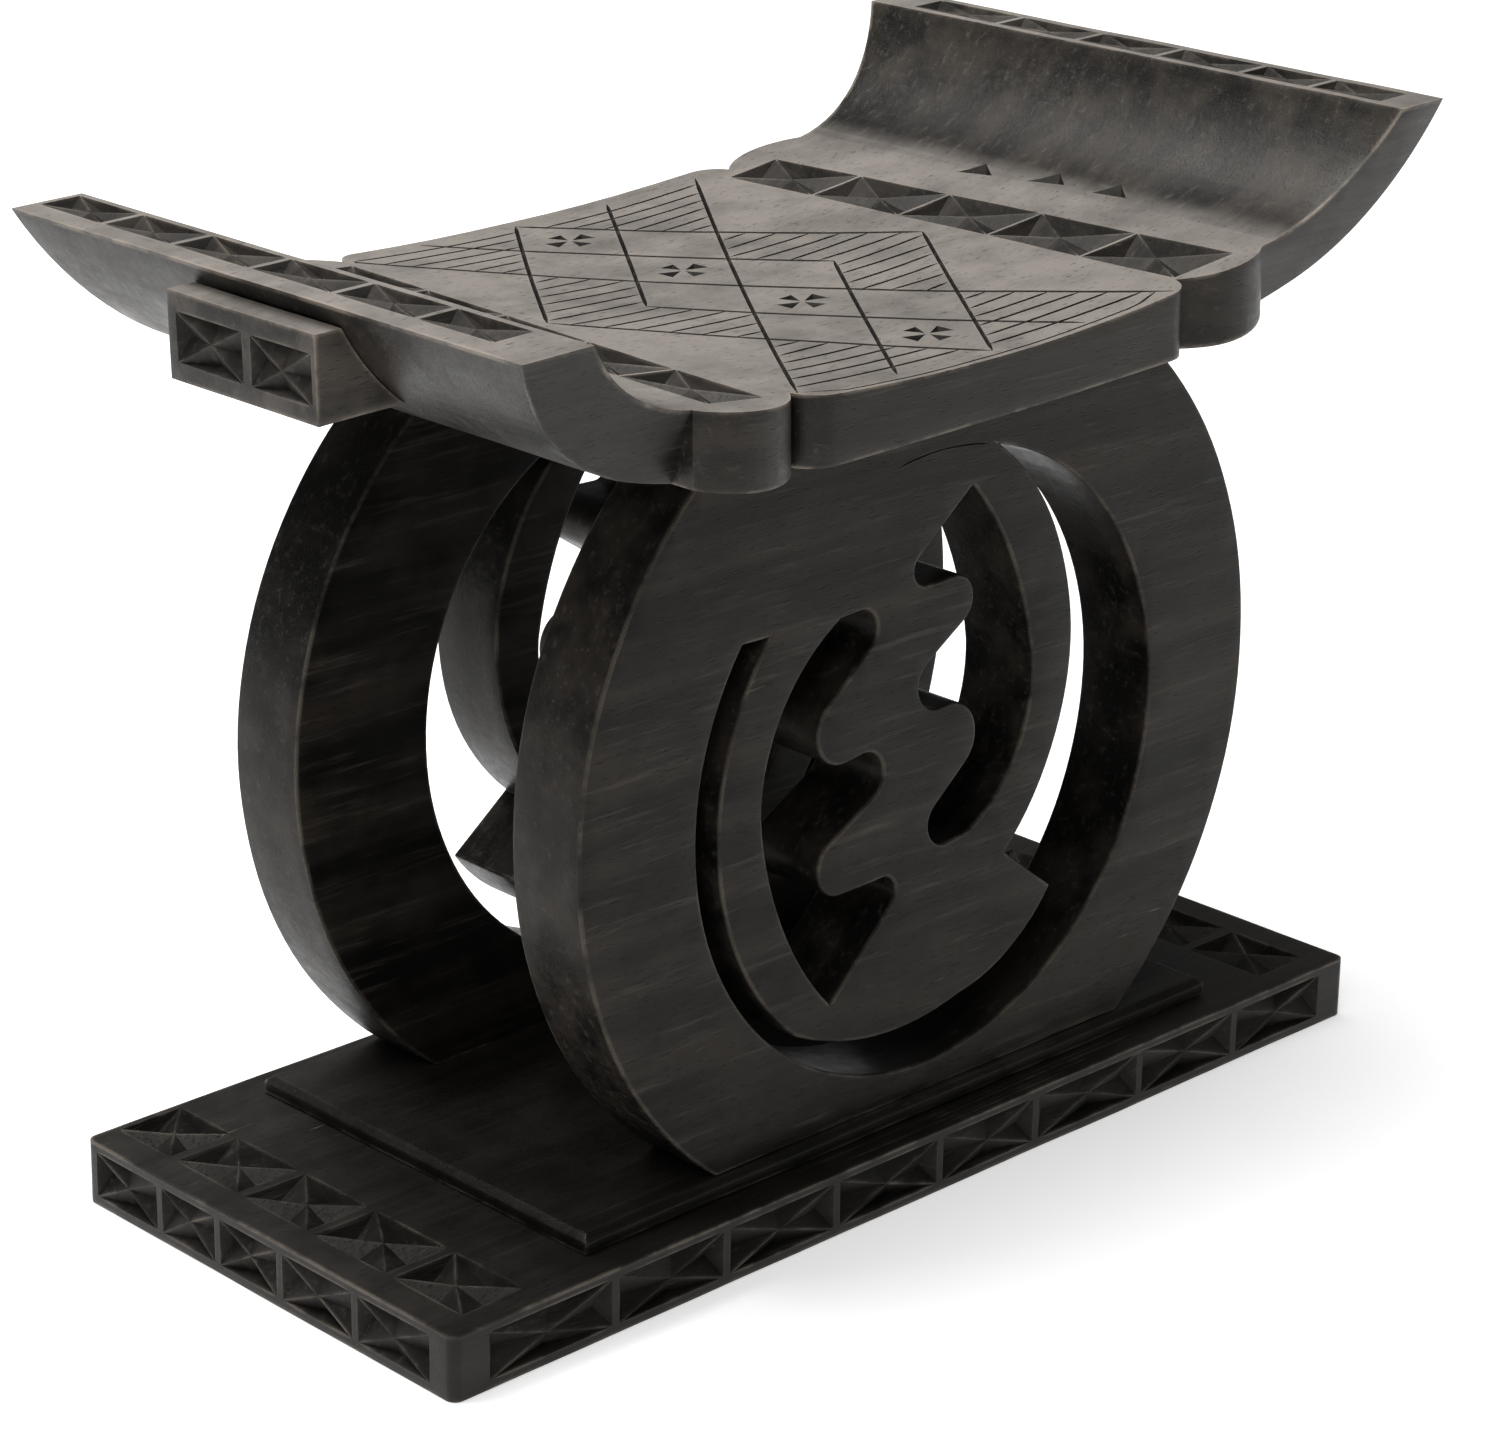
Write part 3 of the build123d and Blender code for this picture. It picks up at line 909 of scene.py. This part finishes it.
@dataclass
class Lattice:
    """The incised lattice in the middle of the seat."""

    middle: Point = (-8.5 * MM, 0.0)
    across: float = 26.9 * MM
    up: float = 35.5 * MM
    lean: float = 1.0 * MM
    cross_lean: float = 0.8 * MM
    bold_width: float = 2.8 * MM
    bold_depth: float = 2.0 * MM
    line_width: float = 2.1 * MM
    line_depth: float = 1.7 * MM
    hatch_width: float = 2.0 * MM
    hatch_depth: float = 1.5 * MM
    hatch_spacing: float = 11.0 * MM
    hatch_inset: float = 0.8 * MM
    hatch_shortest: float = 5 * MM
    hatch_tilt: Range = (-0.5, 0.9)
    petal_length: float = 11.4 * MM
    petal_depth: float = 3.8 * MM
    petal_half: float = 0.42
    petal_start: float = 0.9 * MM
    cross_petals: float = 0.9
    flower_turn: float = 3

    def crossing(self, down: float, up: float) -> Point:
        """A crossing of the lattice.

        Args:
            down: Steps along the lines that run down to the right.
            up: Steps along the lines that run up to the right.

        Returns:
            The crossing's place on the seat.
        """
        side, lift = down + up, up - down
        return (
            self.middle[0] + side * self.across - lift * self.lean,
            self.middle[1] + lift * self.up - side * self.cross_lean,
        )

    def bold_lines(self, knife: Cutter) -> None:
        """Cuts the bold long lines, which run down to the right.

        Args:
            knife: The cutter that gets the grooves.
        """
        for line, first, last in LATTICE_LINES:
            places = (self.crossing(first, line), self.crossing(last, line))
            knife.groove(places, self.bold_width, self.bold_depth)

    def fine_lines(self, knife: Cutter) -> None:
        """Cuts the fine long lines, which run up to the right.

        Args:
            knife: The cutter that gets the grooves.
        """
        for line, first, last in LATTICE_LINES:
            places = (self.crossing(line, first), self.crossing(line, last))
            knife.groove(places, self.line_width, self.line_depth)

    def hatch(self, knife: Cutter, outline: Sequence[tuple[int, int]]) -> None:
        """Fills part of the lattice with lines along the seat.

        Args:
            knife: The cutter that gets the grooves.
            outline: The crossings round the part.
        """
        corners = [self.crossing(*corner) for corner in outline]
        low = min(corner[1] for corner in corners)
        high = max(corner[1] for corner in corners)
        count = int((high - low) / self.hatch_spacing)
        for step in range(1, count + 1):
            level = low + (high - low) * step / (count + 1)
            ends = []
            for (x0, y0), (x1, y1) in zip(corners, corners[1:] + corners[:1]):
                if (y0 - level) * (y1 - level) < 0:
                    ends.append(x0 + (x1 - x0) * (level - y0) / (y1 - y0))
            ends.sort()
            for left, right in zip(ends[::2], ends[1::2]):
                if right - left > self.hatch_shortest:
                    tilt = knife.hand.uniform(*self.hatch_tilt) * MM
                    places = (
                        (left + self.hatch_inset, level - tilt),
                        (right - self.hatch_inset, level + tilt),
                    )
                    knife.groove(places, self.hatch_width, self.hatch_depth)

    def flower(self, knife: Cutter, middle: Point) -> None:
        """Cuts four petals, each a chip that is widest at its outer end.

        Args:
            knife: The cutter that gets the chips.
            middle: The flower's middle on the seat.
        """
        for quarter in range(4):
            turn = Matrix.Rotation(math.radians(90 * quarter + self.flower_turn), 2)
            reach = self.petal_length * (self.cross_petals if quarter % 2 else 1.0)
            half = reach * self.petal_half
            corners = ((reach, -half), (reach, half), (self.petal_start, 0))
            arms = [turn @ Vector(corner) for corner in corners]
            knife.chip(*[Vector(middle) + arm for arm in arms], depth=self.petal_depth, lean=0.3)

    def filling(self, knife: Cutter) -> None:
        """Cuts the hatching and the flowers between the long lines.

        Args:
            knife: The cutter that gets the shapes.
        """
        for outline in HATCHED:
            self.hatch(knife, outline)
        for middle in FLOWERS:
            self.flower(knife, self.crossing(*middle))


@dataclass
class SeatGroup:
    """The curved seat with its wings, and the two carved lugs."""

    edge: float = 2.0 * MM
    band_depth: float = 7.0 * MM
    band_cells: int = 5
    band_gap: float = 0.002
    band_sunk: float = 1.2 * MM
    rim_depth: float = 5.0 * MM
    rim_sunk: float = 1.4 * MM
    rim_stray: float = 0.8 * MM
    rim_bar: float = 1.3 * MM
    wing_chip_depth: float = 4.0 * MM
    wing_chip_lean: float = 0.1
    border_width: float = 1.4 * MM
    border_depth: float = 1.0 * MM
    right_band: tuple[Point, ...] = (
        (106 * MM, 128 * MM),
        (137 * MM, 129 * MM),
        (153 * MM, -137 * MM),
        (116 * MM, -135 * MM),
    )
    left_band: tuple[Point, ...] = (
        (-150 * MM, 129 * MM),
        (-117 * MM, 129 * MM),
        (-129 * MM, -138 * MM),
        (-157 * MM, -136 * MM),
    )
    left_rim: Point = (-257 * MM, -237 * MM)
    right_rim: Point = (238 * MM, 257 * MM)
    left_rim_cells: tuple[float, ...] = (156, 112, 66, 16, -35, -84, -130)
    right_rim_cells: tuple[float, ...] = (138, 83, 33, -16, -65, -105, -146)
    lug_cells: tuple[Point, ...] = ((-37, 5), (10, 47))
    lug_low: float = 41 * MM
    lug_high: float = 62 * MM
    lug_depth: float = 5.0 * MM
    lug_sunk: float = 0.8 * MM
    lug_stray: float = 1.2 * MM
    lug_edge: float = 1.6 * MM
    lug_wave: float = 0.6 * MM
    probe: float = 100 * MM

    def directions(self) -> tuple[Vector, Vector]:
        """Looks at the seat from below.

        Returns:
            The middle of its underside, and the direction along it.
        """
        below = Ground(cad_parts["seat"], Vector((0, 0, 0)), Y_AXIS, X_AXIS)
        origin = below.at((0, 0))
        return origin, (below.at((0, self.probe)) - origin).normalized()

    def band(self, knife: Cutter, corners: Sequence[Point]) -> None:
        """Cuts a row of crosses inside a four-cornered band.

        Args:
            knife: The cutter that gets the crosses.
            corners: The band's corners on the seat, in order.
        """
        a, b, c, d = (Vector(corner) for corner in corners)
        for cell in range(self.band_cells):
            first, last = cell / self.band_cells, (cell + 1) / self.band_cells
            first, last = first + self.band_gap, last - self.band_gap
            cell_corners = [a.lerp(d, first), b.lerp(c, first), b.lerp(c, last), a.lerp(d, last)]
            knife.cross(cell_corners, self.band_depth, self.band_sunk)

    def rim(self, knife: Cutter, sides: Point, cells: Sequence[float]) -> None:
        """Cuts a row of crosses along the top of one wing.

        Args:
            knife: The cutter that gets the chips.
            sides: The row's two sides along the seat.
            cells: Where the cells begin and end across the seat, in millimetres.
        """
        left, right = sides
        for high, low in zip(cells, cells[1:]):
            top, bottom = high * MM - self.rim_bar, low * MM + self.rim_bar
            corners = [(left, top), (right, top), (right, bottom), (left, bottom)]
            knife.cross(corners, self.rim_depth, self.rim_sunk, stray=self.rim_stray)

    def seat(self, origin: Vector, along: Vector) -> None:
        """Works the seat.

        Args:
            origin: The middle of its underside.
            along: The direction along it.
        """
        timber = Timber("seat", "seat_wood", SEAT_FINISH, edge=self.edge, seed=3.1)
        piece = timber.rough_out()
        top = Ground(piece, origin, along, Y_AXIS)
        knife = Cutter(top, seed=11)
        # The lattice, wing chips and border get a near-black finish: partly the duller finish of cut
        # faces, partly painted shade in the grooves and petals.
        lattice, carving_and_shade = Lattice(), SEAT_CARVING_AND_SHADE.make()
        lattice.filling(knife)
        knife.cut(piece, carving_and_shade)
        self.band(knife, self.right_band)
        self.band(knife, self.left_band)
        knife.cut(piece, BAND_CUT.make())
        for corners in WING_CHIPS:
            places = [(x * MM, y * MM) for x, y in corners]
            knife.chip(*places, self.wing_chip_depth, self.wing_chip_lean)
        places = [(x * MM, y * MM) for x, y in BORDER]
        knife.groove(places, self.border_width, self.border_depth)
        knife.cut(piece, carving_and_shade)
        lattice.bold_lines(knife)
        knife.cut(piece, carving_and_shade)
        lattice.fine_lines(knife)
        knife.cut(piece, carving_and_shade)
        self.rim(knife, self.right_rim, self.right_rim_cells)
        self.rim(knife, self.left_rim, self.left_rim_cells)
        knife.cut(piece, RIM_CUT.make())
        timber.finish_off()

    def lug(self, node: str, side: int, origin: Vector, along: Vector) -> None:
        """Works one lug.

        Args:
            node: The lug's node.
            side: -1 on the left and 1 on the right.
            origin: The middle of the seat's underside.
            along: The direction along the seat.
        """
        seed = 5.0 + side
        timber = Timber(node, "seat_wood", LUG_FINISH, edge=self.lug_edge, wave=self.lug_wave, seed=seed)
        block = timber.rough_out()
        knife = Cutter(Ground(block, origin, Y_AXIS * side, along.cross(Y_AXIS)), seed=20 + side)
        for left, right in self.lug_cells:
            sides = (left * MM, right * MM) if side < 0 else (-right * MM, -left * MM)
            low = [(side, self.lug_low) for side in sides]
            high = [(side, self.lug_high) for side in reversed(sides)]
            knife.cross(low + high, self.lug_depth, self.lug_sunk, stray=self.lug_stray)
        knife.cut(block, RIM_CUT.make())
        timber.finish_off()

    def build(self) -> None:
        """Works the seat and both lugs."""
        origin, along = self.directions()
        self.seat(origin, along)
        self.lug("left_lug", -1, origin, along)
        self.lug("right_lug", 1, origin, along)


# The lattice's long lines: which line, and the crossings where it begins and ends.
LATTICE_LINES = ((0, -4, 4), (1, -3, 1), (2, -2, 2), (-1, -1, 3), (-2, -2, 2))
HATCHED = (
    ((-4, 0), (-2, 0), (-2, 2)),
    ((-2, 2), (0, 2), (0, 4)),
    ((-2, 0), (-1, 0), (-1, -1), (0, -1), (0, -2), (-2, -2)),
    ((0, 2), (0, 1), (1, 1), (1, 0), (2, 0), (2, 2)),
    ((0, -2), (0, -4), (2, -2)),
    ((2, 0), (2, -2), (4, 0)),
)
FLOWERS = ((-1.5, 1.5), (-0.5, 0.5), (0.5, -0.5), (1.5, -1.5))
# The line inside the seat's near edge, in millimetres.
BORDER = ((-108, -139), (-92, -145.5), (-50, -146.5), (20, -146.5), (80, -145), (100, -139))
# The three chips where the right wing rises, in millimetres.
WING_CHIPS = (
    ((180, 34), (171, 22), (167, 41)),
    ((185, -7), (177, -17), (173, 4)),
    ((187, -42), (178, -53), (176, -33)),
)


@dataclass
class PanelPair:
    """The two pierced side panels."""

    edge: float = 1.1 * MM
    symbol_shift: float = 9 * MM
    symbol_height: float = 193 * MM
    score_radius: float = 140 * MM
    score_start: float = 78
    score_end: float = 101
    score_steps: int = 6
    score_width: float = 1.2 * MM
    score_depth: float = 0.5 * MM

    def score(self, knife: Cutter) -> None:
        """Cuts the faint line that carries the slot's outer edge on over the symbol.

        Args:
            knife: The cutter that gets the groove.
        """
        places = []
        for step in range(self.score_steps + 1):
            angle = self.score_start + (self.score_end - self.score_start) * step / self.score_steps
            turn = math.radians(angle)
            x = self.symbol_shift + self.score_radius * math.cos(turn)
            places.append((x, self.symbol_height + self.score_radius * math.sin(turn)))
        knife.groove(places, self.score_width, self.score_depth)

    def build(self) -> None:
        """Works both panels."""
        for node, across, seed in (("front_panel", X_AXIS, 7), ("back_panel", -X_AXIS, 9)):
            timber = Timber(node, "panel_wood", PANEL_FINISH, edge=self.edge, seed=seed)
            piece = timber.rough_out()
            knife = Cutter(Ground(piece, Vector((0, 0, 0)), across, Z_AXIS), seed=seed)
            self.score(knife)
            # The score line gets the near-black finish: partly the cut faces' own finish, partly painted
            # shade in the groove.
            knife.cut(piece, SEAT_CARVING_AND_SHADE.make())
            timber.finish_off()


@dataclass
class BaseGroup:
    """The base board with its chip-carved sides, and the step on it."""

    side_cells: tuple[float, ...] = (-263, -193, -130, -65, -1, 61, 131, 198, 262)
    end_cells: tuple[float, ...] = (-117, -70, -30, 12, 61, 110)
    top_cells: tuple[float, ...] = (122, 81, 34, -13, -64, -112)
    side_low: float = 4.5 * MM
    side_high: float = 26 * MM
    bar: float = 1.7 * MM
    border_inner: float = 231 * MM
    border_outer: float = 264 * MM
    depth: float = 5.5 * MM
    top_depth: float = 6.3 * MM
    top_bar: float = 2.4 * MM
    side_sunk: float = 1.0 * MM
    top_sunk: float = 0.8 * MM
    stray: float = 1.2 * MM
    board_edge: float = 1.6 * MM
    step_edge: float = 0.8 * MM
    step_wave: float = 0.5 * MM
    tool_marks: int = 4
    mark_share: Range = (0.3, 0.9)
    mark_width: Range = (1.0, 1.7)
    mark_depth: Range = (0.4, 0.8)
    mark_tips: float = 0.1
    board_marks: tuple[float, ...] = (-121 * MM, -108 * MM, 225 * MM)
    step_marks: tuple[float, ...] = (-106.6 * MM, -93 * MM, 180 * MM)

    def side_row(self, knife: Cutter, cells: Sequence[float]) -> None:
        """Cuts a row of crosses along a side of the board.

        Args:
            knife: The cutter that gets the crosses.
            cells: Where the cells begin and end along the side, in millimetres.
        """
        for left, right in zip(cells, cells[1:]):
            low, high = left * MM + self.bar, right * MM - self.bar
            foot, top = self.side_low, self.side_high
            corners = [(low, foot), (high, foot), (high, top), (low, top)]
            knife.cross(corners, self.depth, self.side_sunk, stray=self.stray)

    def top_row(self, knife: Cutter, end: int) -> None:
        """Cuts a row of crosses along one end of the board's top.

        Args:
            knife: The cutter that gets the crosses.
            end: -1 for the left end and 1 for the right one.
        """
        inner, outer = -end * self.border_inner, -end * self.border_outer
        for high, low in zip(self.top_cells, self.top_cells[1:]):
            near, far = low * MM + self.top_bar, high * MM - self.top_bar
            corners = [(near, outer), (far, outer), (far, inner), (near, inner)]
            knife.cross(corners, self.top_depth, self.top_sunk, stray=self.stray)

    def marks(self, knife: Cutter, low: float, high: float, reach: float) -> None:
        """Leaves long, shallow marks of the gouge along the front of the board or the step.

        Args:
            knife: The cutter that gets the marks.
            low: The lowest place of a mark across the board.
            high: The highest one.
            reach: How far from the middle a mark may go.
        """
        for mark in range(self.tool_marks):
            level = low + (high - low) * (mark + 0.5) / self.tool_marks
            start = knife.hand.uniform(-reach, reach * 0.5)
            end = min(start + knife.hand.uniform(*self.mark_share) * reach, reach)
            width = knife.hand.uniform(*self.mark_width) * MM
            deep = knife.hand.uniform(*self.mark_depth) * MM
            knife.groove(((start, level), (end, level)), width, deep, tips=self.mark_tips)

    def build(self) -> None:
        """Works the board and the step."""
        board = Timber("base_board", "base_wood", BASE_FINISH, edge=self.board_edge, seed=2.2)
        piece = board.rough_out()
        cut_finish = BASE_CUT.make()
        floor = Vector((0, 0, 0))
        sides = ((X_AXIS, self.side_cells), (-X_AXIS, self.side_cells))
        ends = ((-Y_AXIS, self.end_cells), (Y_AXIS, self.end_cells))
        for seed, (across, cells) in enumerate(sides + ends, start=31):
            knife = Cutter(Ground(piece, floor, across, Z_AXIS), seed=seed)
            self.side_row(knife, cells)
            knife.cut(piece, cut_finish)
        knife = Cutter(Ground(piece, floor, Y_AXIS, -X_AXIS), seed=35)
        self.top_row(knife, -1)
        self.top_row(knife, 1)
        knife.cut(piece, cut_finish)
        knife = Cutter(Ground(piece, floor, X_AXIS, Y_AXIS), seed=37)
        self.marks(knife, *self.board_marks)
        knife.cut(piece, piece.data.materials[0])
        board.finish_off()

        sizes = {"edge": self.step_edge, "wave": self.step_wave}
        step = Timber("base_step", "base_wood", BASE_FINISH, **sizes, seed=4.4)
        piece = step.rough_out()
        knife = Cutter(Ground(piece, floor, X_AXIS, Y_AXIS), seed=38)
        self.marks(knife, *self.step_marks)
        knife.cut(piece, piece.data.materials[0])
        step.finish_off()


# ---- the studio ----
@dataclass(frozen=True)
class Lamp:
    """One soft square lamp that points at the stool."""

    name: str
    place: tuple[float, float, float]
    size: float
    power: float

    def hang(self, target: Vector) -> None:
        """Adds the lamp to the scene.

        Args:
            target: The point that it shines at.
        """
        data = bpy.data.lights.new(self.name, "AREA")
        data.shape = "SQUARE"
        data.size = self.size
        data.energy = self.power
        lamp = bpy.data.objects.new(self.name, data)
        bpy.context.scene.collection.objects.link(lamp)
        place = Vector(self.place)
        turn = (target - place).to_track_quat("-Z", "Y").to_matrix().to_4x4()
        lamp.matrix_world = Matrix.Translation(place) @ turn


LAMPS = (
    Lamp("overhead", (-0.2, 0.4, 2.2), 1.5, 62),
    Lamp("left", (-1.3, 0.7, 2.3), 0.7, 16),
    Lamp("front", (-1.15, -0.8, 1.3), 0.6, 5.5),
)


@dataclass
class Studio:
    """The floor, the lights and the camera. The camera's lengths are in units of the base."""

    unit: float = 0.56
    azimuth: float = -44.26
    elevation: float = 20.35
    roll: float = 0.733
    distance: float = 3.386
    focal_pixels: float = 4282.6
    target: tuple[float, float, float] = (-0.0048, -0.0030, 0.3352)
    sensor: float = 36
    far_clip: float = 50
    world_light: float = 0.12
    lamp_target: tuple[float, float, float] = (0, 0, 0.25)
    floor_size: float = 14
    floor_cells: int = 8

    def camera(self) -> None:
        """Sets the camera up at the stool's near left corner."""
        turn, tilt, roll = (math.radians(angle) for angle in (self.azimuth, self.elevation, self.roll))
        back = Vector((math.sin(turn) * math.cos(tilt), -math.cos(turn) * math.cos(tilt), math.sin(tilt)))
        place = (Vector(self.target) + back * self.distance) * self.unit
        level = (-back).cross(Z_AXIS).normalized()
        rise = level.cross(-back)
        right = level * math.cos(roll) + rise * math.sin(roll)
        up = rise * math.cos(roll) - level * math.sin(roll)
        data = bpy.data.cameras.new("camera")
        data.sensor_fit = "HORIZONTAL"
        data.sensor_width = self.sensor
        data.lens = self.focal_pixels / IMAGE_WIDTH * data.sensor_width
        data.clip_end = self.far_clip
        camera = bpy.data.objects.new("camera", data)
        bpy.context.scene.collection.objects.link(camera)
        axes = Matrix((right, up, back)).transposed().to_4x4()
        camera.matrix_world = Matrix.Translation(place) @ axes
        bpy.context.scene.camera = camera

    def floor(self) -> None:
        """Lays the pale floor."""
        bpy.ops.object.select_all(action="DESELECT")
        cells = self.floor_cells
        bpy.ops.mesh.primitive_grid_add(x_subdivisions=cells, y_subdivisions=cells, size=self.floor_size)
        floor = bpy.context.active_object
        floor.name = "floor"
        floor.data.materials.append(Backdrop("floor_paint").make())

    def build(self) -> None:
        """Sets the whole studio up."""
        world = bpy.data.worlds.new("studio")
        world.use_nodes = True
        background = world.node_tree.nodes["Background"]
        background.inputs["Color"].default_value = (1, 1, 1, 1)
        background.inputs["Strength"].default_value = self.world_light
        bpy.context.scene.world = world
        bpy.context.scene.view_settings.view_transform = "Standard"
        for lamp in LAMPS:
            lamp.hang(Vector(self.lamp_target))
        self.floor()
        self.camera()


def main() -> None:
    """Builds and dresses the whole stool."""
    logging.basicConfig(level=logging.INFO, format="%(asctime)s %(name)s: %(message)s")
    noise.seed_set(WAVE_SEED)
    for group in (SeatGroup(), PanelPair(), BaseGroup()):
        group.build()
        log.info("%s done", type(group).__name__)
    for node in ("lug_pins", "step_pins"):
        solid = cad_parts[node]
        solid.data.materials.clear()
        solid.data.materials.append(PlainWood(f"{node}_wood").make())
    Masters.clear()
    Studio().build()


if __name__ == "__main__":
    main()
